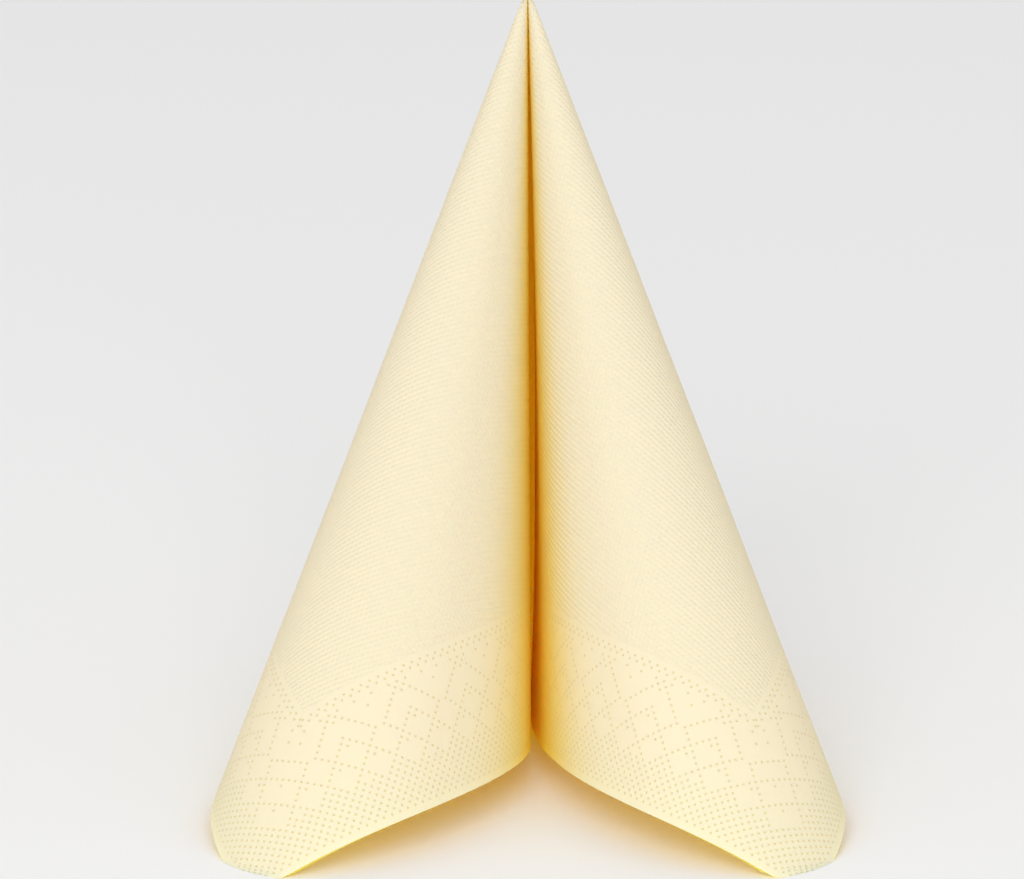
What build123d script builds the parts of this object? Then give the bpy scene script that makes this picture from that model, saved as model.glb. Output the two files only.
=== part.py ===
"""Paper napkin: a square sheet of tissue folded in half, with both upper corners folded down to the
middle, stood up as a cone of two round lobes. Millimetres, Z up, the groove between the lobes faces -Y.

The apex is the middle of the sheet, so every straight line from the apex to the rim keeps its flat
length, and the angle that the folded sheet turns through from line to line is its flat angle. Flat
panels and round rolls follow each other from the back ridge round each lobe to the seam in the groove.
"""

import os
from math import atan, atan2, ceil, cos, degrees, pi, radians, sin, sqrt

from build123d import *

# Sheet, laid flat
napkin_side = 330.0
corner_radius = 12.0
layer_thickness = 0.25

# Fold, as angles in degrees at the apex
ridge_lean = 4.3  # back ridge, forward of plumb
ridge_roll = 6.0  # half angle of the round back ridge
wall_spread = 34.0  # flat outer wall, out from the middle plane
nose_roll = 8.1  # half angle of the round nose of a lobe
inner_roll = 16.6  # half angle of the fuller inner wall
groove_tilt = 0.65  # flat walls of the groove, out from the middle plane
seam_gap = 1.95  # seams in the groove, forward of the back ridge

# Tip and feet
tip_end = 3.0  # depth below the apex at which the blunt tips end
tip_depth = 22.0  # depth below the apex down to which the folds are packed solid
foot_press = 0.1  # how much of the ridge's foot is pressed flat on the table

# Worked out
half_side = napkin_side / 2
right_angle = degrees(pi / 2)
half_fold = right_angle  # angle of the sheet from the back ridge to the seam
corner_fold = half_fold / 2  # angle of the sheet from the back ridge to a corner
wall = 2 * layer_thickness  # the half fold doubles the sheet
roll_step = 2.5  # angle of the sheet between points along a roll
touch_precision = 0.0001  # of the angles at which the edge meets the table
wall_rounds = 12  # of finding how much of the sheet the flat outer wall takes


def spun(direction: Vector, axis: Vector, angle: float) -> Vector:
    """Direction turned about an axis through the apex."""
    return direction.rotate(Axis((0, 0, 0), axis), angle)


def turn_between(axis: Vector, start: Vector, end: Vector) -> float:
    """Angle about an axis from one direction to another, from 0 to 360."""
    across = axis.cross(start)
    along = across.cross(axis)
    return degrees(atan2(end.dot(across), end.dot(along))) % 360


def tangent_axis(nose_axis: Vector, groove_normal: Vector) -> Vector:
    """Axis of the inner wall's cone, which holds the nose's cone and touches the groove wall."""
    to_groove = sin(radians(inner_roll))
    to_nose = cos(radians(inner_roll - nose_roll))
    overlap = groove_normal.dot(nose_axis)
    groove_share = (to_groove - to_nose * overlap) / (1 - overlap**2)
    nose_share = (to_nose - to_groove * overlap) / (1 - overlap**2)
    level = groove_normal * groove_share + nose_axis * nose_share
    side = nose_axis.cross(groove_normal)
    offset = sqrt(1 - level.dot(level)) / side.length
    return max((level + side * offset, level - side * offset), key=lambda axis: axis.Y)


def lobe_sectors(wall_sector: float) -> list[tuple[float, float, Vector, Vector]]:
    """Right lobe from the ridge to the seam: sheet angle, turn, axis and first line of each sector."""
    ridge = spun(Vector(0, 0, -1), Vector(-1, 0, 0), ridge_lean)
    seam = spun(Vector(0, 0, -1), Vector(-1, 0, 0), ridge_lean + seam_gap)
    ridge_axis = spun(ridge, Vector(-1, 0, 0), ridge_roll)
    ridge_turn = right_angle - wall_spread
    wall_start = spun(ridge, ridge_axis, ridge_turn)
    wall_normal = wall_start.cross(spun(Vector(1, 0, 0), ridge_axis, ridge_turn))
    wall_end = spun(wall_start, wall_normal, wall_sector)
    nose_axis = wall_end * cos(radians(nose_roll)) + wall_normal * sin(radians(nose_roll))
    groove_normal = spun(Vector(1, 0, 0), Vector(0, -1, 0), groove_tilt)
    inner_axis = tangent_axis(nose_axis, groove_normal)
    nose_end = spun(nose_axis, inner_axis.cross(nose_axis), nose_roll)
    nose_turn = turn_between(nose_axis, wall_end, nose_end)
    groove_start = (inner_axis - groove_normal * inner_axis.dot(groove_normal)).normalized()
    inner_turn = turn_between(inner_axis, nose_end, groove_start)
    ridge_sector = ridge_turn * sin(radians(ridge_roll))
    nose_sector = nose_turn * sin(radians(nose_roll))
    inner_sector = inner_turn * sin(radians(inner_roll))
    groove_sector = turn_between(groove_normal, groove_start, seam)
    return [
        (ridge_sector, ridge_turn, ridge_axis, ridge),
        (wall_sector, wall_sector, wall_normal, wall_start),
        (nose_sector, nose_turn, nose_axis, wall_end),
        (inner_sector, inner_turn, inner_axis, nose_end),
        (groove_sector, groove_sector, groove_normal, groove_start),
    ]


# The flat outer wall and the wall of the groove share what the rolls leave of the sheet
wall_sector = half_fold / 3
for _ in range(wall_rounds):
    wall_sector += (half_fold - sum(sector[0] for sector in lobe_sectors(wall_sector))) / 2
sectors = lobe_sectors(wall_sector)


def sector_at(angle: float) -> tuple[int, float]:
    """Number of the sector that an angle of the sheet lies in, and the angle from its first line."""
    rest = abs(angle)
    index = 0
    while index < len(sectors) - 1 and rest > sectors[index][0]:
        rest -= sectors[index][0]
        index += 1
    return index, rest


def fold_line(angle: float) -> tuple[Vector, Vector]:
    """Direction from the apex, and into the lobe, at an angle of the sheet from the ridge."""
    index, rest = sector_at(angle)
    sector, turn, axis, first = sectors[index]
    line = spun(first, axis, turn * rest / sector)
    inward = (axis - line * axis.dot(line)).normalized()
    if angle < 0:
        return Vector(-line.X, line.Y, line.Z), Vector(-inward.X, inward.Y, inward.Z)
    return line, inward


def reach(angle: float) -> float:
    """Flat distance from the middle of the sheet to its edge, round the corner."""
    along = cos(radians(angle))
    across = sin(radians(abs(angle)))
    corner = half_side - corner_radius
    if half_side * min(along, across) <= corner * max(along, across):
        return half_side / max(along, across)
    return corner * (along + across) + sqrt(corner_radius**2 - (corner * (along - across)) ** 2)


def at_depth(depth: float, angle: float, inset: float = 0) -> Vector:
    """Point at a depth below the apex, on the fold's outer side or inset from it."""
    line, inward = fold_line(angle)
    start = inward * inset
    return start + line * ((start.Z + depth) / -line.Z)


def steps_between(first: float, last: float) -> list[float]:
    """Angles of the sheet from one to another: both ends of a flat panel, and more between on a roll."""
    sector, turn, *_ = sectors[sector_at((first + last) / 2)[0]]
    if turn == sector:
        return [first, last]
    count = max(2, ceil((last - first) / roll_step))
    return [first + (last - first) * step / count for step in range(count + 1)]


def through(points: list[Vector], angles: list[float]) -> Edge:
    """Straight edge through two points, or smooth edge that passes more of them at given angles."""
    return Edge.make_line(*points) if len(points) == 2 else Edge.make_spline(points, parameters=angles)


def rim_depth(angle: float) -> float:
    """Depth below the apex of the sheet's edge, or of the table where the edge is pressed on it."""
    return min(-fold_line(angle)[0].Z * reach(angle), apex_height)


def table_stops(stops: list[float]) -> list[float]:
    """Angles with those added between them at which the sheet's edge meets the table."""
    met = []
    for low, high in zip(stops, stops[1:]):
        presses = [rim_depth(angle) == apex_height for angle in (low, high)]
        while presses[0] != presses[1] and high - low > touch_precision:
            middle = (low + high) / 2
            if (rim_depth(middle) == apex_height) == presses[0]:
                low = middle
            else:
                high = middle
        if presses[0] != presses[1]:
            met.append(low if presses[0] else high)
    return sorted(stops + met)


def panel(first: float, last: float) -> Solid:
    """Doubled sheet between two angles from the ridge, from the packed tip to the rim."""
    angles = steps_between(first, last)
    edges = []
    for inset, end in ((0, rim_depth), (0, None), (wall, None), (wall, rim_depth)):
        points = [at_depth(end(angle) if end else tip_depth, angle, inset) for angle in angles]
        edges.append(through(points, angles))
    ends = [Face(Wire.make_polygon([edge @ share for edge in edges])) for share in (0, 1)]
    if all(rim_depth(angle) == apex_height for angle in angles):
        cuts = [Edge.make_line(edges[0] @ share, edges[-1] @ share) for share in (0, 1)]
        rim = Face(Wire([edges[0], *cuts, edges[-1]]))
    else:
        rim = Face.make_surface_from_curves(edges[0], edges[-1])
    pairs = zip(edges, edges[1:])
    if len(angles) == 2:
        sides = [Face(Wire.make_polygon([one @ 0, one @ 1, two @ 1, two @ 0])) for one, two in pairs]
    else:
        sides = [Face.make_surface_from_curves(one, two) for one, two in pairs]
    return Solid(Shell([rim] + sides + ends))


# Ends of the sectors, as angles of the sheet from the ridge
ridge_end, panel_end, nose_end, inner_end = (
    sum(sector[0] for sector in sectors[: count + 1]) for count in range(4)
)
corner_start = degrees(atan(1 - corner_radius / half_side))
corner_stops = [corner_start, corner_fold, half_fold - corner_start]

# Both feet of the lobes and the foot of the ridge stand on the table
ridge_foot = -fold_line(ridge_end)[0].Z * reach(ridge_end)
lobe_foot = -fold_line(corner_fold)[0].Z * reach(corner_fold)
apex_height = min(ridge_foot, lobe_foot) - foot_press

folds = table_stops(sorted([ridge_end, panel_end, nose_end, inner_end, half_fold] + corner_stops))
folds = [-angle for angle in reversed(folds)] + folds

with BuildPart() as napkin:
    for depth in (tip_depth, tip_end):
        with BuildSketch(Plane.XY.offset(-depth)):
            with BuildLine(Plane.XY.offset(-depth)):
                for first, last in zip(folds, folds[1:]):
                    angles = steps_between(first, last)
                    add(through([at_depth(depth, angle) for angle in angles], angles))
                add(Edge.make_line(at_depth(depth, folds[0]), at_depth(depth, folds[-1])))
            make_face()
    loft(ruled=True)
    add([panel(first, last) for first, last in zip(folds, folds[1:])])

footprint = napkin.part.bounding_box()
napkin.part.position = Vector(0, -footprint.center().Y, apex_height)
napkin.part.label = "folded_napkin"

os.makedirs("parts", exist_ok=True)
export_step(napkin.part, "parts/folded_napkin.step")
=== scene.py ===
"""Paper napkin: a square of embossed tissue, folded in half and stood up as a cone of two round lobes.

Metres in the part's own frame, Z up. The groove between the lobes faces -Y.
"""

from __future__ import annotations

import logging
import math
from dataclasses import dataclass, field
from enum import Enum

import bpy
import numpy as np
from mathutils import Matrix, Quaternion, Vector

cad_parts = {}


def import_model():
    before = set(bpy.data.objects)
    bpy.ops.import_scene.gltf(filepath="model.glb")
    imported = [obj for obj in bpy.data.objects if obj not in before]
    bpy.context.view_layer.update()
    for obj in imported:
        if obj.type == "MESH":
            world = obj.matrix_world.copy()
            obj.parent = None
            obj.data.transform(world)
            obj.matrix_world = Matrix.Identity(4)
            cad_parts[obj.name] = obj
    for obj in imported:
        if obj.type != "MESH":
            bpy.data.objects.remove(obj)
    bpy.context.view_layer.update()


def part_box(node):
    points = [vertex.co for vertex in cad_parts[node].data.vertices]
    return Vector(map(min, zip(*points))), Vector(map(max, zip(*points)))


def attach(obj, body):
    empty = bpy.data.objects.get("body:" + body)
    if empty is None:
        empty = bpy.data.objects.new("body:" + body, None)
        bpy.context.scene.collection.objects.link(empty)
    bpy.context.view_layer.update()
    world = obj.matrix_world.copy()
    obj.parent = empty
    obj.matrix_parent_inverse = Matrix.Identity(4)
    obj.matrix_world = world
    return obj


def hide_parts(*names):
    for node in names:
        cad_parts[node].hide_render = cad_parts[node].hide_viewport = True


LOG = logging.getLogger("paper_napkin")
MM = 0.001
FRAME_WIDTH = 1024  # pixels of the picture that the camera frames
FRAME_HEIGHT = 879
RIGHT_ANGLE = 90.0  # degrees
SAME_COUNT = 0.5  # difference within which two counts are the same
NOISE_MIDDLE = 0.5  # value round which Blender's noise varies

# Kinds of node
ATTRIBUTE = "ShaderNodeAttribute"
JOIN = "ShaderNodeCombineXYZ"
MATHS = "ShaderNodeMath"
MIX = "ShaderNodeMix"
NOISE = "ShaderNodeTexNoise"
RAMP = "ShaderNodeMapRange"
SPLIT = "ShaderNodeSeparateXYZ"
VECTORS = "ShaderNodeVectorMath"

# Outputs and inputs of a colour mix, whose sockets share their names
MIXED = 2
FIRST_COLOUR = 6
SECOND_COLOUR = 7


class Side(Enum):
    """Side of the sheet: outward or inward when it is folded in half."""

    FACE = "face"
    BACK = "back"


class Panel(Enum):
    """Flat panel or round roll of a lobe, from the back ridge to the seam in the groove."""

    RIDGE = "Ridge"
    WALL = "Wall"
    NOSE = "Nose"
    INNER = "Inner"
    GROOVE = "Groove"


def linear_colour(hex_colour: str) -> tuple[float, float, float, float]:
    """Turn an sRGB hex colour into linear red, green, blue and alpha.

    Args:
        hex_colour: Six hex digits after a hash sign.

    Returns:
        The linear colour with an alpha of 1.
    """
    channels = [int(hex_colour[start : start + 2], 16) / 255 for start in (1, 3, 5)]
    linear = [c / 12.92 if c <= 0.04045 else ((c + 0.055) / 1.055) ** 2.4 for c in channels]
    return linear[0], linear[1], linear[2], 1.0


def add_node(
    tree: bpy.types.NodeTree,
    kind: str,
    *inputs: object,
    named: dict[str | int, object] | None = None,
    output: str | int = 0,
    **settings: object,
) -> bpy.types.NodeSocket | None:
    """Add a node with its settings, and set or link its inputs.

    Args:
        tree: Node tree that takes the node.
        kind: Blender's name for the node.
        inputs: Value, or output socket to link, for each input in order, or None to leave it.
        named: The same by the input's name or number.
        output: Name or number of the output to hand back.
        settings: The node's own properties.

    Returns:
        The chosen output socket, or None where the node has no outputs.
    """
    node = tree.nodes.new(kind)
    for name, value in settings.items():
        setattr(node, name, value)
    for key, value in [*enumerate(inputs), *(named or {}).items()]:
        if isinstance(value, bpy.types.NodeSocket):
            tree.links.new(value, node.inputs[key])
        elif value is not None:
            node.inputs[key].default_value = value
    return node.outputs[output] if node.outputs else None


@dataclass(frozen=True)
class Sector:
    """A panel's share of the sheet, as a fan of straight lines from the apex, in degrees."""

    start: float
    extent: float
    turn: float
    axis: Vector
    first: Vector

    @property
    def end(self) -> float:
        """Sheet angle at which the next sector starts."""
        return self.start + self.extent


@dataclass(frozen=True)
class ConeFold:
    """Angles of the standing fold at the apex in degrees, the same as in the part's source."""

    ridge_lean: float = 4.3  # back ridge, forward of plumb
    ridge_roll: float = 6.0  # half angle of the round back ridge
    wall_spread: float = 34.0  # flat outer wall, out from the middle plane
    wall_sector: float = 26.3  # angle of the sheet that the flat outer wall takes
    nose_roll: float = 8.1  # half angle of the round nose of a lobe
    inner_roll: float = 16.6  # half angle of the fuller inner wall
    groove_tilt: float = 0.65  # flat walls of the groove, out from the middle plane
    half_fold: float = RIGHT_ANGLE  # angle of the sheet from the back ridge to the seam

    @staticmethod
    def spun(direction: Vector, axis: Vector, angle: float) -> Vector:
        """Return a direction turned about an axis by degrees."""
        return Quaternion(axis, math.radians(angle)) @ direction

    @staticmethod
    def turn_between(axis: Vector, start: Vector, end: Vector) -> float:
        """Find the angle about an axis from one direction to another.

        Args:
            axis: Axis through the apex.
            start: First direction.
            end: Second direction.

        Returns:
            Degrees from 0 to 360.
        """
        across = axis.cross(start)
        along = across.cross(axis)
        return math.degrees(math.atan2(end.dot(across), end.dot(along))) % 360

    def inner_axis(self, nose_axis: Vector, groove_normal: Vector) -> Vector:
        """Find the axis of the inner wall's cone, which holds the nose's cone and touches the groove wall.

        Args:
            nose_axis: Axis of the round nose.
            groove_normal: Normal of the groove's flat wall, into the lobe.

        Returns:
            The axis that leaves the lobe fuller.
        """
        to_groove = math.sin(math.radians(self.inner_roll))
        to_nose = math.cos(math.radians(self.inner_roll - self.nose_roll))
        overlap = groove_normal.dot(nose_axis)
        rest = 1 - overlap**2
        level = groove_normal * ((to_groove - to_nose * overlap) / rest)
        level += nose_axis * ((to_nose - to_groove * overlap) / rest)
        side = nose_axis.cross(groove_normal)
        offset = math.sqrt(1 - level.dot(level)) / side.length
        return max((level + side * offset, level - side * offset), key=lambda axis: axis.y)

    def sectors(self) -> dict[Panel, Sector]:
        """Lay out the right lobe from the back ridge to the seam in the groove.

        Returns:
            The sectors in order, with sheet angles counted from the ridge.
        """
        outward = Vector((1, 0, 0))
        ridge = self.spun(Vector((0, 0, -1)), -outward, self.ridge_lean)
        ridge_axis = self.spun(ridge, -outward, self.ridge_roll)
        ridge_turn = RIGHT_ANGLE - self.wall_spread
        wall_start = self.spun(ridge, ridge_axis, ridge_turn)
        wall_normal = wall_start.cross(self.spun(outward, ridge_axis, ridge_turn))
        wall_end = self.spun(wall_start, wall_normal, self.wall_sector)
        nose = math.radians(self.nose_roll)
        nose_axis = wall_end * math.cos(nose) + wall_normal * math.sin(nose)
        groove_normal = self.spun(outward, Vector((0, -1, 0)), self.groove_tilt)
        inner_axis = self.inner_axis(nose_axis, groove_normal)
        nose_end = self.spun(nose_axis, inner_axis.cross(nose_axis).normalized(), self.nose_roll)
        nose_turn = self.turn_between(nose_axis, wall_end, nose_end)
        groove_start = (inner_axis - groove_normal * inner_axis.dot(groove_normal)).normalized()
        inner_turn = self.turn_between(inner_axis, nose_end, groove_start)
        # A roll turns further than the sheet's own angle, as its radius is smaller than the line is long
        turns = {
            Panel.RIDGE: (ridge_turn, math.sin(math.radians(self.ridge_roll)), ridge_axis, ridge),
            Panel.WALL: (self.wall_sector, 1.0, wall_normal, wall_start),
            Panel.NOSE: (nose_turn, math.sin(nose), nose_axis, wall_end),
            Panel.INNER: (inner_turn, math.sin(math.radians(self.inner_roll)), inner_axis, nose_end),
        }
        laid: dict[Panel, Sector] = {}
        start = 0.0
        for panel, (turn, share, axis, first) in turns.items():
            laid[panel] = Sector(start, turn * share, turn, axis, first)
            start = laid[panel].end
        rest = self.half_fold - start
        laid[Panel.GROOVE] = Sector(start, rest, rest, groove_normal, groove_start)
        return laid


@dataclass(frozen=True)
class EmbossedTissue:
    """Dyed three-ply tissue, creped and then embossed between rollers with small pits.

    Soft matt fibres scatter nearly all light and let some through. Folds that face each other pass it back
    and forth and glow deeper yellow;
    that glow and shade is painted into the base colour, deeper yellow where the lobes face and on the inner
    layer.
    Each pit is a slightly darker dot, and the field's fine waffle shows as faint rows where light grazes
    it.
    """

    paper: str = "#FDFDEA"
    painted_bounce_shade: str = "#FFEC4C"  # painted shade and bounce light: the deeper yellow of paper that faces paper, where the dye tints bounced light again and again
    painted_groove_shade: str = "#FFBC24"  # painted shade and bounce light, deeper still, deep in the groove
    pit: str = "#ECE2AE"
    glow: str = "#FEFCA0"  # light that has gone through
    roughness: float = 0.92
    specular: float = 0.1
    translucency: float = 0.33  # share of the light that goes on through a side of a layer
    hidden_translucency: float = 0.95  # the same for the sides that lie on each other
    along_step: float = 2.13  # mm between dots along the edge
    motif_start: float = 136.33  # mm from the middle of the sheet to the motif's first row
    row_gap: float = 1.53  # rows between the double row and the motif's first row
    repeat: int = 16  # half steps along the edge from motif to motif
    full_row: int = 17  # first row of the full lattice
    last_row: int = 25
    pit_radius: float = 0.4  # mm
    pit_floor: float = 0.1  # mm, radius of the pit's flat floor
    pit_depth: float = 0.12  # mm
    pit_tint: float = 0.85
    waffle_depth: float = 0.036  # mm
    waffle_tint: float = 0.01
    waffle_waves: tuple[tuple[float, float], ...] = (  # waves per mm along both sides of the sheet
        (-0.165, 0.85),
        (0.85, -0.165),
        (0.685, 0.685),
    )
    waffle_weights: tuple[float, ...] = (1.5, 0.7, 0.7)
    fibre_size: float = 0.35  # mm, coarser than single fibres so that it shows
    fibre_depth: float = 0.012  # mm
    fibre_tint: float = 0.05

    def material(self) -> bpy.types.Material:
        """Build the tissue's material on the sheet's flat coordinates.

        Returns:
            The finished material.
        """
        finish = bpy.data.materials.new("embossed_tissue_paper")
        finish.use_nodes = True
        tree = finish.node_tree
        tree.nodes.clear()
        place = add_node(tree, ATTRIBUTE, output="Vector", attribute_name="sheet_place")
        fineness = {"Vector": place, "Scale": 1 / self.fibre_size, "Detail": 0.0}
        fibre = add_node(tree, NOISE, named=fineness, noise_dimensions="2D")
        height: bpy.types.NodeSocket | float = 0.0
        shade: bpy.types.NodeSocket | float = 0.0
        for relief, depth, tint in (
            (self.pits(tree, place), -self.pit_depth, self.pit_tint),
            (self.waffle(tree, place), -self.waffle_depth, self.waffle_tint),
            (fibre, self.fibre_depth, self.fibre_tint),
        ):
            height = add_node(tree, MATHS, relief, depth, height, operation="MULTIPLY_ADD")
            shade = add_node(tree, MATHS, relief, tint, shade, operation="MULTIPLY_ADD")
        bump = add_node(tree, "ShaderNodeBump", named={"Strength": 1.0, "Distance": MM, "Height": height})
        colour: bpy.types.NodeSocket | tuple[float, ...] = linear_colour(self.paper)
        # Painted shade and bounce light: the base colour turns deeper yellow where the lobes face and on
        # the inner layer, and deeper orange in the groove
        painted_shade, painted_deep_shade, hidden = (
            add_node(tree, ATTRIBUTE, output="Fac", attribute_name=f"sheet_{name}")
            for name in ("painted_shade", "painted_deep_shade", "hidden")
        )
        for share, second in ((painted_shade, self.painted_bounce_shade), (painted_deep_shade, self.painted_groove_shade), (shade, self.pit)):
            pair = {FIRST_COLOUR: colour, SECOND_COLOUR: linear_colour(second)}
            colour = add_node(tree, MIX, share, named=pair, output=MIXED, data_type="RGBA")
        surface = {"Base Color": colour, "Roughness": self.roughness, "Normal": bump}
        surface["Specular IOR Level"] = self.specular
        front = add_node(tree, "ShaderNodeBsdfPrincipled", named=surface)
        through = add_node(tree, "ShaderNodeBsdfTranslucent", linear_colour(self.glow))
        more = self.hidden_translucency - self.translucency
        passed = add_node(tree, MATHS, hidden, more, self.translucency, operation="MULTIPLY_ADD")
        both = add_node(tree, "ShaderNodeMixShader", passed, front, through)
        add_node(tree, "ShaderNodeOutputMaterial", both)
        return finish

    @staticmethod
    def off_middle(
        tree: bpy.types.NodeTree, place: bpy.types.NodeSocket
    ) -> list[bpy.types.NodeSocket]:
        """Measure how far a place is from the two lines through the middle of the sheet.

        Args:
            tree: Node tree of the material.
            place: The sheet's flat coordinates in millimetres.

        Returns:
            Both distances in millimetres.
        """
        parts = add_node(tree, SPLIT, place).node.outputs
        return [add_node(tree, MATHS, parts[axis], operation="ABSOLUTE") for axis in (0, 1)]

    def pits(self, tree: bpy.types.NodeTree, place: bpy.types.NodeSocket) -> bpy.types.NodeSocket:
        """Draw the border's pits: a double row, a trellis of diamonds and a full lattice to the edge.

        Args:
            tree: Node tree of the material.
            place: The sheet's flat coordinates in millimetres.

        Returns:
            Depth of the pits from 0 to 1.
        """
        sides = self.off_middle(tree, place)
        far = add_node(tree, MATHS, *sides, operation="MAXIMUM")
        near = add_node(tree, MATHS, *sides, operation="MINIMUM")
        # Rows are counted outward and steps along the edge, both by half the space between dots
        fine = 2 / self.along_step
        first = -self.motif_start * fine
        row = add_node(tree, MATHS, far, fine, first, operation="MULTIPLY_ADD")
        step = add_node(tree, MATHS, near, fine, first + self.repeat / 2, operation="MULTIPLY_ADD")
        double = add_node(tree, MATHS, row, -self.row_gap / 2, operation="LESS_THAN")
        row = add_node(tree, MATHS, double, self.row_gap, row, operation="MULTIPLY_ADD")
        dots: list[bpy.types.NodeSocket] = []
        squares: bpy.types.NodeSocket | float = 0.0
        for way in ("ADD", "SUBTRACT"):
            diagonal = add_node(tree, MATHS, row, step, operation=way)
            diagonal = add_node(tree, MATHS, diagonal, 0.5, operation="MULTIPLY")
            dots.append(add_node(tree, MATHS, diagonal, operation="ROUND"))
            off = add_node(tree, MATHS, diagonal, dots[-1], operation="SUBTRACT")
            squares = add_node(tree, MATHS, off, off, squares, operation="MULTIPLY_ADD")
        distance = add_node(tree, MATHS, squares, operation="SQRT")
        pitch = self.along_step / math.sqrt(2)
        rim, floor = self.pit_radius / pitch, self.pit_floor / pitch
        dot = add_node(tree, RAMP, distance, rim, floor, 0.0, 1.0, interpolation_type="SMOOTHSTEP")
        row = add_node(tree, MATHS, *dots, operation="ADD")
        step = add_node(tree, MATHS, *dots, operation="SUBTRACT")
        step = add_node(tree, MATHS, step, self.repeat / 2, operation="PINGPONG")
        # The double row is rows -1 and 0 once the gap is taken up
        doubled = add_node(tree, MATHS, row, -0.5, 1.0, operation="COMPARE")
        shown = add_node(tree, MIX, double, None, self.motif(tree, row, step), doubled, data_type="FLOAT")
        shown = add_node(tree, MATHS, shown, 1.0, operation="MINIMUM")
        return add_node(tree, MATHS, dot, shown, operation="MULTIPLY")

    def motif(
        self, tree: bpy.types.NodeTree, row: bpy.types.NodeSocket, step: bpy.types.NodeSocket
    ) -> bpy.types.NodeSocket:
        """Choose the dots of the trellis and the full lattice.

        Args:
            tree: Node tree of the material.
            row: Number of the row, outward.
            step: Half steps along the edge from the middle of a motif.

        Returns:
            1 or more where a dot is shown.
        """
        falling = add_node(tree, MATHS, step, row, operation="SUBTRACT")
        rising = add_node(tree, MATHS, step, row, operation="ADD")
        full = (self.full_row + self.last_row) / 2, (self.last_row - self.full_row + 1) / 2
        shown = add_node(tree, MATHS, row, *full, operation="COMPARE")
        # Each leg of the trellis: diagonal, where it starts, first row and last row
        for line, level, first, last in (
            (falling, 0, 0, 7),
            (rising, 14, 7, 14),
            (falling, -6, 6, 14),
            (rising, 22, 14, 16),
            (falling, -14, 14, 16),
        ):
            on_line = add_node(tree, MATHS, line, float(level), SAME_COUNT, operation="COMPARE")
            rows = (first + last) / 2, (last - first + 1) / 2
            in_rows = add_node(tree, MATHS, row, *rows, operation="COMPARE")
            shown = add_node(tree, MATHS, on_line, in_rows, shown, operation="MULTIPLY_ADD")
        spot = add_node(tree, MATHS, row, float(self.repeat), step, operation="MULTIPLY_ADD")
        for single_row, single_step in ((0, 2), (0, 6), (2, 0), (2, 8), (8, 0), (12, 4), (16, 8)):
            single = float(single_row * self.repeat + single_step)
            here = add_node(tree, MATHS, spot, single, SAME_COUNT, operation="COMPARE")
            shown = add_node(tree, MATHS, shown, here, operation="ADD")
        return shown

    def waffle(self, tree: bpy.types.NodeTree, place: bpy.types.NodeSocket) -> bpy.types.NodeSocket:
        """Draw the field's fine waffle, three sets of waves that cross inside the border.

        Args:
            tree: Node tree of the material.
            place: The sheet's flat coordinates in millimetres.

        Returns:
            Depth of the waffle, about -1.5 to 3.
        """
        total: bpy.types.NodeSocket | float = 0.0
        for (along, across), weight in zip(self.waffle_waves, self.waffle_weights):
            wave = (2 * math.pi * along, 2 * math.pi * across, 0.0)
            phase = add_node(tree, VECTORS, place, wave, output="Value", operation="DOT_PRODUCT")
            crest = add_node(tree, MATHS, phase, operation="COSINE")
            total = add_node(tree, MATHS, crest, weight, total, operation="MULTIPLY_ADD")
        far = add_node(tree, MATHS, *self.off_middle(tree, place), operation="MAXIMUM")
        field_end = self.motif_start - 2 * self.along_step
        inside = add_node(tree, MATHS, far, field_end, operation="LESS_THAN")
        return add_node(tree, MATHS, total, inside, operation="MULTIPLY")


@dataclass(frozen=True)
class Column:
    """Straight line of the sheet from its middle to its edge, in degrees and millimetres."""

    angle: float  # of the sheet, from the ridge
    flat_angle: float  # on the opened sheet
    inset: float  # behind the fold's outer side
    bulge: float  # past the seam, round the half fold
    inner: bool  # on the inner layer


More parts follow.
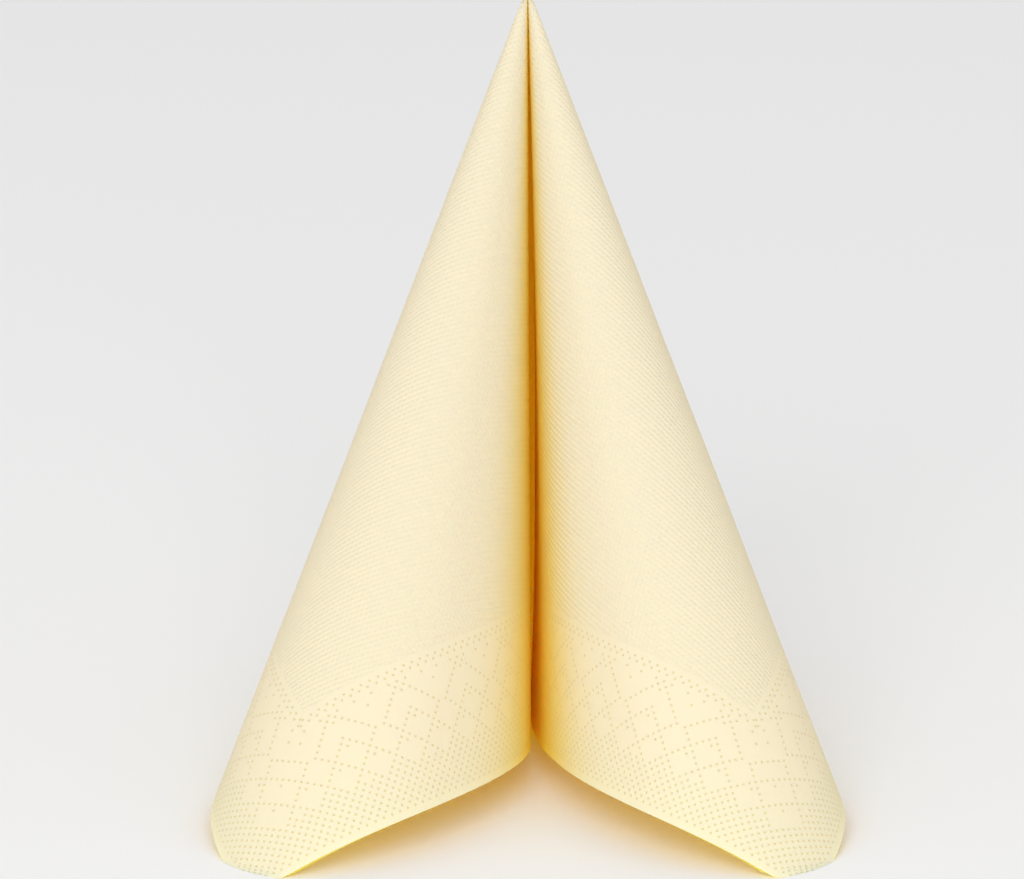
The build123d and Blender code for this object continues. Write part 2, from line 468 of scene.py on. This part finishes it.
@dataclass
class FoldedNapkin:
    """The one sheet of the napkin: its cut, its layers and the fold that it follows."""

    side: float = 330.0  # mm
    corner_radius: float = 12.0  # mm
    layer: float = 0.2  # mm
    layer_gap: float = 0.1  # mm
    tip_end: float = 3.0  # mm below the apex at which the blunt tips end
    tip_ring: float = 1.0  # mm from the middle of the sheet to its first ring of points
    packed_share: float = 0.18  # share of the way to the edge in which the layers thin out
    packed_least: float = 0.1  # share of the thickness that is left at the tip
    rows: int = 64
    roll_step: float = 5.0  # degrees of turn between columns on a roll
    flat_step: float = 2.5  # degrees between columns on a flat panel
    seam_steps: int = 6
    groove_lean: float = 2.4  # mm that the groove runs to the right at the foot
    lean_rise: float = 1.0  # power of the way to the foot
    groove_close: float = 3.3  # mm that the right wall comes up to the left one at the foot
    close_rise: float = 3.0
    close_before: float = 6.0  # degrees before and after the groove's first line
    close_after: float = 8.0
    unevenness: float = 0.5  # mm
    uneven_rise: float = 1.5
    uneven_scale: float = 22.0  # swells per metre
    flutter: float = 0.35  # mm that the inner layer stands off at the edge
    flutter_from: float = 0.8  # share of the way to the edge
    flutter_waves: tuple[float, float] = (0.31, 0.83)  # radians of two waves for each degree
    flutter_phase: float = 1.0  # radians by which the second wave is ahead
    painted_shade_ends: tuple[float, float] = (57.0, 70.0)  # sheet angles over which the painted shade comes in, where the lobes come to face
    painted_deep_shade_ends: tuple[float, float] = (64.0, 78.0)  # the same for the painted deep shade in the groove
    inner_painted_deep_shade: float = 0.15  # how far the inner layer takes the groove's painted deep shade
    ridge_painted_deep_shade_ends: tuple[float, float] = (18.0, 9.0)  # the inner layer behind the groove takes all of the painted deep shade
    painted_shade_edge_fade: float = 0.7  # how much of its painted shade the inner layer loses at the edge, in open light
    painted_shade_fade_ends: tuple[float, float] = (0.9, 1.0)  # shares of the way to the edge
    crease_angle: float = 50.0  # degrees past which an edge is shaded sharp
    fold: ConeFold = field(default_factory=ConeFold)
    finish: EmbossedTissue = field(default_factory=EmbossedTissue)

    def reach(self, angle: float) -> float:
        """Find the flat distance from the middle of the sheet to its edge, round the corner.

        Args:
            angle: Sheet angle from the ridge in degrees.

        Returns:
            Distance in millimetres.
        """
        half = self.side / 2
        along, across = math.cos(math.radians(angle)), math.sin(math.radians(abs(angle)))
        corner = half - self.corner_radius
        if half * min(along, across) <= corner * max(along, across):
            return half / max(along, across)
        rounding = self.corner_radius**2 - (corner * (along - across)) ** 2
        return corner * (along + across) + math.sqrt(rounding)

    def half_angles(self) -> list[float]:
        """List the columns' sheet angles from the left seam to the right seam.

        Returns:
            Angles in degrees, closer together on the rolls.
        """
        right = [0.0]
        for sector in self.fold.sectors().values():
            pace = self.flat_step if sector.turn == sector.extent else self.roll_step
            count = math.ceil(sector.turn / pace)
            right += [sector.start + sector.extent * step / count for step in range(1, count + 1)]
        return [-angle for angle in reversed(right[1:])] + right

    def columns(self, side: Side) -> list[Column]:
        """List the columns once round the doubled sheet: outer layer, seam, inner layer, seam.

        Args:
            side: Side of the sheet.

        Returns:
            The columns in order.
        """
        whole = 2 * self.layer + self.layer_gap
        outer = 0.0 if side is Side.FACE else self.layer
        inner = whole - outer
        half = self.half_angles()
        seam = self.fold.half_fold
        middle, radius = whole / 2, (inner - outer) / 2
        found = [Column(angle, angle, outer, 0.0, False) for angle in half]
        for hand in (1, -1):
            for step in range(1, self.seam_steps):
                turned = math.pi * step / self.seam_steps
                inset = middle - hand * radius * math.cos(turned)
                bulge = radius * math.sin(turned)
                flat_angle = 2 * seam - hand * seam
                found.append(Column(hand * seam, flat_angle, inset, bulge, inset > middle))
            if hand == 1:
                found += [Column(angle, 2 * seam - angle, inner, 0.0, True) for angle in reversed(half)]
        return found

    @staticmethod
    def ramp(value: float, ends: tuple[float, float]) -> float:
        """Go smoothly from 0 to 1 as a value goes from one end to the other.

        Args:
            value: The value.
            ends: Where the ramp starts and where it is full.

        Returns:
            Height of the ramp.
        """
        share = float(np.clip((value - ends[0]) / (ends[1] - ends[0]), 0.0, 1.0))
        return share**2 * (3 - 2 * share)

    def point(self, column: Column, share: float, side: Side) -> tuple[float, ...]:
        """Work out what the fold and the finish need to know at a point of the sheet.

        Args:
            column: Line of the sheet that the point lies on.
            share: How far the point is on the way to the edge.
            side: Side of the sheet.

        Returns:
            Flat place, then sheet angle, radius, inset, bulge, hidden, painted shade and painted deep
            shade.
        """
        distance = self.reach(column.angle) * share
        thin = max(self.packed_least, min(1.0, share / self.packed_share))
        inset = column.inset * thin
        around = abs(column.angle)
        # Shares of painted shade and bounce light: a deeper yellow base colour where the lobes face and in
        # the groove
        painted_shades = [self.ramp(around, self.painted_shade_ends), self.ramp(around, self.painted_deep_shade_ends)]
        if column.inner:
            lift = max(0.0, (share - self.flutter_from) / (1 - self.flutter_from)) ** 2
            slow, fast = (column.angle * wave for wave in self.flutter_waves)
            inset += self.flutter * lift * (1 + math.sin(slow) * math.sin(fast + self.flutter_phase))
            # The inner layer is painted in shade all over, less so at its edge in open light
            faded = self.painted_shade_edge_fade * self.ramp(share, self.painted_shade_fade_ends)
            painted_shades = [1.0 - faded, max(self.inner_painted_deep_shade, self.ramp(around, self.ridge_painted_deep_shade_ends))]
        turned = math.radians(column.flat_angle)
        place = (distance * math.cos(turned), distance * math.sin(turned))
        sizes = (distance * MM, inset * MM, column.bulge * thin * MM)
        return *place, column.angle, *sizes, float(side is Side.BACK), *painted_shades

    def flat_sheet(self) -> bpy.types.Mesh:
        """Make the flat doubled sheet, with what the fold needs to know at each point.

        Returns:
            Mesh of both sides of the sheet, closed in the middle and at the cut edge.
        """
        half = self.side / 2
        shares = [self.tip_ring / half, *np.linspace(self.tip_end / half, 1.0, self.rows - 1)]
        points: list[tuple[float, ...]] = []
        faces: list[tuple[int, ...]] = []
        rims: list[list[int]] = []
        for side in Side:
            columns = self.columns(side)
            pole = len(points)
            points.append(self.point(columns[len(self.half_angles()) // 2], 0.0, side))
            points += [self.point(column, share, side) for column in columns for share in shares]
            lines = [pole + 1 + self.rows * number for number in range(len(columns))]
            rims.append([line + self.rows - 1 for line in lines])
            for here, there in zip(lines, lines[1:] + lines[:1]):
                strip: list[tuple[int, ...]] = [(pole, here, there)]
                strip += [
                    (here + row, here + row + 1, there + row + 1, there + row)
                    for row in range(self.rows - 1)
                ]
                faces += strip if side is Side.BACK else [corners[::-1] for corners in strip]
        for face, back, next_face, next_back in zip(*rims, *(rim[1:] + rim[:1] for rim in rims)):
            faces.append((next_face, next_back, back, face))
        table = np.array(points, dtype=np.float32)
        places = np.column_stack((table[:, :2], np.zeros(len(table), dtype=np.float32)))
        mesh = bpy.data.meshes.new("folded_sheet")
        mesh.from_pydata(places.tolist(), [], faces)
        flat_place = mesh.attributes.new("sheet_place", "FLOAT_VECTOR", "POINT")
        flat_place.data.foreach_set("vector", places.ravel())
        # The last two are the shares of painted shade and painted deep shade
        names = ("angle", "radius", "inset", "bulge", "hidden", "painted_shade", "painted_deep_shade")
        for number, name in enumerate(names, start=2):
            values = np.ascontiguousarray(table[:, number])
            mesh.attributes.new(f"sheet_{name}", "FLOAT", "POINT").data.foreach_set("value", values)
        return mesh

    def sizes(self, apex: Vector) -> dict[str, float | Vector]:
        """Give the named inputs of the folding nodes.

        Args:
            apex: Place of the middle of the sheet before its tip is blunted.

        Returns:
            Sizes in metres and degrees, by name.
        """
        sectors = self.fold.sectors()
        nose, groove = sectors[Panel.NOSE], sectors[Panel.GROOVE]
        given: dict[str, float | Vector] = {
            "Apex": apex,
            "Tip Height": apex.z - self.tip_end * MM,
            "Half Side": self.side / 2 * MM,
            "Lean Shift": self.groove_lean * MM,
            "Lean Rise": self.lean_rise,
            "Lean From": nose.start + nose.extent / 2,
            "Lean To": groove.start,
            "Close Shift": -self.groove_close * MM,
            "Close Rise": self.close_rise,
            "Close From": groove.start - self.close_before,
            "Close To": groove.start + self.close_after,
            "Unevenness": self.unevenness * MM,
            "Unevenness Rise": self.uneven_rise,
            "Unevenness Scale": self.uneven_scale,
        }
        for panel, sector in sectors.items():
            given[f"{panel.value} Axis"] = sector.axis
            given[f"{panel.value} First"] = sector.first
            given[f"{panel.value} Start"] = sector.start
            given[f"{panel.value} Rate"] = math.radians(sector.turn / sector.extent)
        return given

    def fold_line(
        self, tree: bpy.types.NodeTree, given: bpy.types.NodeOutputs, turned: bpy.types.NodeSocket
    ) -> list[bpy.types.NodeSocket]:
        """Find the line from the apex that each point of the sheet comes to lie on.

        Args:
            tree: Node tree that folds the sheet.
            given: Inputs of the tree.
            turned: Sheet angle from the ridge.

        Returns:
            Directions along the line, into the lobe and onward round it.
        """
        chosen: list[bpy.types.NodeSocket] = []
        for panel in Panel:
            axis, first, start, rate = (
                given[f"{panel.value} {part}"] for part in ("Axis", "First", "Start", "Rate")
            )
            rest = add_node(tree, MATHS, turned, start, operation="SUBTRACT")
            swing = add_node(tree, MATHS, rest, rate, operation="MULTIPLY")
            spin = {"Vector": first, "Axis": axis, "Angle": swing}
            line = add_node(tree, "ShaderNodeVectorRotate", named=spin, rotation_type="AXIS_ANGLE")
            share = add_node(tree, VECTORS, axis, line, output="Value", operation="DOT_PRODUCT")
            along = add_node(tree, VECTORS, line, named={"Scale": share}, operation="SCALE")
            inward = add_node(tree, VECTORS, axis, along, operation="SUBTRACT")
            onward = add_node(tree, VECTORS, axis, line, operation="CROSS_PRODUCT")
            found = [add_node(tree, VECTORS, way, operation="NORMALIZE") for way in (line, inward, onward)]
            if chosen:
                past = add_node(tree, "FunctionNodeCompare", turned, start, operation="GREATER_THAN")
                found = [
                    add_node(tree, "GeometryNodeSwitch", past, old, new, input_type="VECTOR")
                    for old, new in zip(chosen, found)
                ]
            chosen = found
        return chosen

    def fold_tree(
        self, finish: bpy.types.Material, sizes: dict[str, float | Vector]
    ) -> tuple[bpy.types.NodeTree, dict[str, str]]:
        """Build the nodes that fold the flat sheet into the cone.

        Args:
            finish: Material of the sheet.
            sizes: The tree's named inputs.

        Returns:
            The tree, and the identifier of each input by its name.
        """
        tree = bpy.data.node_groups.new("fold_into_cone", "GeometryNodeTree")
        tree.is_modifier = True
        for way in ("INPUT", "OUTPUT"):
            tree.interface.new_socket("Geometry", in_out=way, socket_type="NodeSocketGeometry")
        identifiers: dict[str, str] = {}
        for name, value in sizes.items():
            kind = "NodeSocketVector" if isinstance(value, Vector) else "NodeSocketFloat"
            identifiers[name] = tree.interface.new_socket(name, in_out="INPUT", socket_type=kind).identifier
        given = add_node(tree, "NodeGroupInput").node.outputs
        angle, radius, inset, bulge = (
            add_node(tree, "GeometryNodeInputNamedAttribute", f"sheet_{name}", data_type="FLOAT")
            for name in ("angle", "radius", "inset", "bulge")
        )
        turned = add_node(tree, MATHS, angle, operation="ABSOLUTE")
        line, inward, onward = self.fold_line(tree, given, turned)
        out = add_node(tree, MATHS, radius, given["Half Side"], operation="DIVIDE")
        mirror = add_node(tree, JOIN, add_node(tree, MATHS, angle, operation="SIGN"), 1.0, 1.0)
        spot = add_node(tree, VECTORS, line, named={"Scale": radius}, operation="SCALE")

        # Soft swells, which grow towards the edge
        apart = add_node(tree, VECTORS, spot, mirror, operation="MULTIPLY")
        coarseness = {"Vector": apart, "Scale": given["Unevenness Scale"], "Detail": 1.0}
        swell = add_node(tree, NOISE, named=coarseness)
        swell = add_node(tree, MATHS, swell, NOISE_MIDDLE, operation="SUBTRACT")
        grown = add_node(tree, MATHS, out, given["Unevenness Rise"], operation="POWER")
        grown = add_node(tree, MATHS, grown, given["Unevenness"], operation="MULTIPLY")
        depth = add_node(tree, MATHS, swell, grown, inset, operation="MULTIPLY_ADD")
        for way, amount in ((inward, depth), (onward, bulge)):
            moved = add_node(tree, VECTORS, way, named={"Scale": amount}, operation="SCALE")
            spot = add_node(tree, VECTORS, spot, moved, operation="ADD")
        spot = add_node(tree, VECTORS, spot, mirror, operation="MULTIPLY")

        # The groove leans to the right, and its right wall closes on the left one
        aside: bpy.types.NodeSocket | float = 0.0
        for name, around in (("Lean", turned), ("Close", angle)):
            ends = given[f"{name} From"], given[f"{name} To"]
            share = add_node(tree, RAMP, around, *ends, 0.0, 1.0, interpolation_type="SMOOTHSTEP")
            grown = add_node(tree, MATHS, out, given[f"{name} Rise"], operation="POWER")
            grown = add_node(tree, MATHS, grown, given[f"{name} Shift"], operation="MULTIPLY")
            aside = add_node(tree, MATHS, share, grown, aside, operation="MULTIPLY_ADD")
        spot = add_node(tree, VECTORS, spot, add_node(tree, JOIN, aside), operation="ADD")
        spot = add_node(tree, VECTORS, spot, given["Apex"], operation="ADD")

        # The table below shortens the lines that would pass through it
        under = add_node(tree, MATHS, add_node(tree, SPLIT, spot, output="Z"), 0.0, operation="MINIMUM")
        spare = add_node(tree, MATHS, under, add_node(tree, SPLIT, line, output="Z"), operation="DIVIDE")
        spare = add_node(tree, VECTORS, line, named={"Scale": spare}, operation="SCALE")
        spare = add_node(tree, VECTORS, spare, mirror, operation="MULTIPLY")
        spot = add_node(tree, VECTORS, spot, spare, operation="SUBTRACT")

        # Blunt tips above
        across, along, up = add_node(tree, SPLIT, spot).node.outputs
        top = add_node(tree, MATHS, given["Tip Height"], inset, operation="SUBTRACT")
        up = add_node(tree, MATHS, up, top, operation="MINIMUM")
        spot = add_node(tree, JOIN, across, along, add_node(tree, MATHS, up, 0.0, operation="MAXIMUM"))
        folded = add_node(tree, "GeometryNodeSetPosition", given["Geometry"], None, spot)
        folded = add_node(tree, "GeometryNodeRealizeInstances", folded)
        dressed = add_node(tree, "GeometryNodeSetMaterial", folded, None, finish)
        add_node(tree, "NodeGroupOutput", dressed)
        return tree, identifiers

    def build(self, apex: Vector) -> bpy.types.Object:
        """Make the folded napkin as a plain mesh object.

        Args:
            apex: Place of the middle of the sheet before its tip is blunted.

        Returns:
            The finished object at the origin.
        """
        flat = bpy.data.objects.new("flat_sheet", self.flat_sheet())
        bpy.context.scene.collection.objects.link(flat)
        sizes = self.sizes(apex)
        tree, identifiers = self.fold_tree(self.finish.material(), sizes)
        folding = flat.modifiers.new("fold", "NODES")
        folding.node_group = tree
        for name, value in sizes.items():
            folding[identifiers[name]] = tuple(value) if isinstance(value, Vector) else value
        shaped = flat.evaluated_get(bpy.context.evaluated_depsgraph_get())
        mesh = bpy.data.meshes.new_from_object(shaped)
        flat.modifiers.remove(folding)
        bpy.data.objects.remove(flat)
        mesh.polygons.foreach_set("use_smooth", [True] * len(mesh.polygons))
        mesh.set_sharp_from_angle(angle=math.radians(self.crease_angle))
        napkin = bpy.data.objects.new("napkin_sheet", mesh)
        bpy.context.scene.collection.objects.link(napkin)
        return napkin


@dataclass(frozen=True)
class MattBackdrop:
    """Pale matt card, smooth and without gloss."""

    colour: str = "#F7F7F7"
    roughness: float = 0.9
    specular: float = 0.1

    def material(self) -> bpy.types.Material:
        """Build the card's material.

        Returns:
            The finished material.
        """
        finish = bpy.data.materials.new("matt_card")
        finish.use_nodes = True
        card = finish.node_tree.nodes["Principled BSDF"].inputs
        card["Base Color"].default_value = linear_colour(self.colour)
        card["Roughness"].default_value = self.roughness
        card["Specular IOR Level"].default_value = self.specular
        return finish


@dataclass(frozen=True)
class Studio:
    """Pale floor, soft light from all round and above, and the camera. Metres."""

    floor_size: float = 12.0
    sky_strength: float = 0.735
    lamp_energy: float = 26.6  # watts
    lamp_size: float = 2.0
    lamp_place: tuple[float, float, float] = (-0.25, -2.0, 1.15)
    lamp_aim: tuple[float, float, float] = (0.0, 0.0, 0.08)
    elevation: float = 18.0  # degrees that the camera looks down
    focal_pixels: float = 7862.0
    apex_depth: float = 1.815  # from the camera to the napkin's apex
    apex_pixel: tuple[float, float] = (527.5, -14.6)
    sensor: float = 36.0  # mm
    clip_end: float = 100.0
    noise_left: float = 0.1  # at which a pixel takes no more samples
    bounces: int = 40
    paper_bounces: int = 28  # off paper, and as many through it
    backdrop: MattBackdrop = field(default_factory=MattBackdrop)

    def floor(self) -> bpy.types.Object:
        """Lay the plain pale floor.

        Returns:
            The floor's object.
        """
        half = self.floor_size / 2
        mesh = bpy.data.meshes.new("studio_floor")
        corners = [(-half, -half, 0), (half, -half, 0), (half, half, 0), (-half, half, 0)]
        mesh.from_pydata(corners, [], [(0, 1, 2, 3)])
        mesh.materials.append(self.backdrop.material())
        floor = bpy.data.objects.new("studio_floor", mesh)
        bpy.context.scene.collection.objects.link(floor)
        return floor

    def light(self) -> None:
        """Set the even sky and the soft lamp above the camera, with bounces enough for thin paper."""
        scene = bpy.context.scene
        world = bpy.data.worlds.new("even_sky")
        world.use_nodes = True
        background = world.node_tree.nodes["Background"].inputs
        background["Color"].default_value = (1, 1, 1, 1)
        background["Strength"].default_value = self.sky_strength
        scene.world = world
        lamp = bpy.data.lights.new("soft_box", "AREA")
        lamp.energy = self.lamp_energy
        lamp.size = self.lamp_size
        holder = bpy.data.objects.new("soft_box", lamp)
        holder.location = self.lamp_place
        aim = Vector(self.lamp_aim) - Vector(self.lamp_place)
        holder.rotation_euler = aim.to_track_quat("-Z", "Y").to_euler()
        scene.collection.objects.link(holder)
        scene.view_settings.view_transform = "Standard"
        scene.cycles.adaptive_threshold = self.noise_left
        scene.cycles.max_bounces = self.bounces
        scene.cycles.diffuse_bounces = self.paper_bounces
        scene.cycles.transmission_bounces = self.paper_bounces

    def camera(self, apex: Vector) -> None:
        """Place the camera so that the apex falls on its pixel.

        Args:
            apex: Place of the napkin's apex.
        """
        tilt = math.radians(self.elevation)
        down = Vector((0, -math.sin(tilt), -math.cos(tilt)))
        forward = Vector((0, math.cos(tilt), -math.sin(tilt)))
        per_pixel = self.apex_depth / self.focal_pixels
        offset = Vector((1, 0, 0)) * ((self.apex_pixel[0] - FRAME_WIDTH / 2) * per_pixel)
        offset += down * ((self.apex_pixel[1] - FRAME_HEIGHT / 2) * per_pixel)
        offset += forward * self.apex_depth
        data = bpy.data.cameras.new("camera")
        data.sensor_fit = "HORIZONTAL"
        data.sensor_width = self.sensor
        data.lens = self.focal_pixels / FRAME_WIDTH * self.sensor
        data.clip_end = self.clip_end
        holder = bpy.data.objects.new("camera", data)
        pitched = Matrix.Rotation(math.pi / 2 - tilt, 4, "X")
        holder.matrix_world = Matrix.Translation(apex - offset) @ pitched
        bpy.context.scene.collection.objects.link(holder)
        bpy.context.scene.camera = holder


def main() -> None:
    """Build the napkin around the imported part, and the studio around the napkin."""
    logging.basicConfig(level=logging.INFO, format="%(name)s: %(message)s")
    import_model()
    _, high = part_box("folded_napkin")
    napkin = FoldedNapkin()
    ridge_run = napkin.tip_end * math.tan(math.radians(napkin.fold.ridge_lean))
    apex = Vector((0, high.y + ridge_run * MM, high.z + napkin.tip_end * MM))
    sheet = napkin.build(apex)
    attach(sheet, "root")
    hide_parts("folded_napkin")
    LOG.info("%s: %d faces", sheet.name, len(sheet.data.polygons))
    studio = Studio()
    studio.floor()
    studio.light()
    studio.camera(apex)


if __name__ == "__main__":
    main()
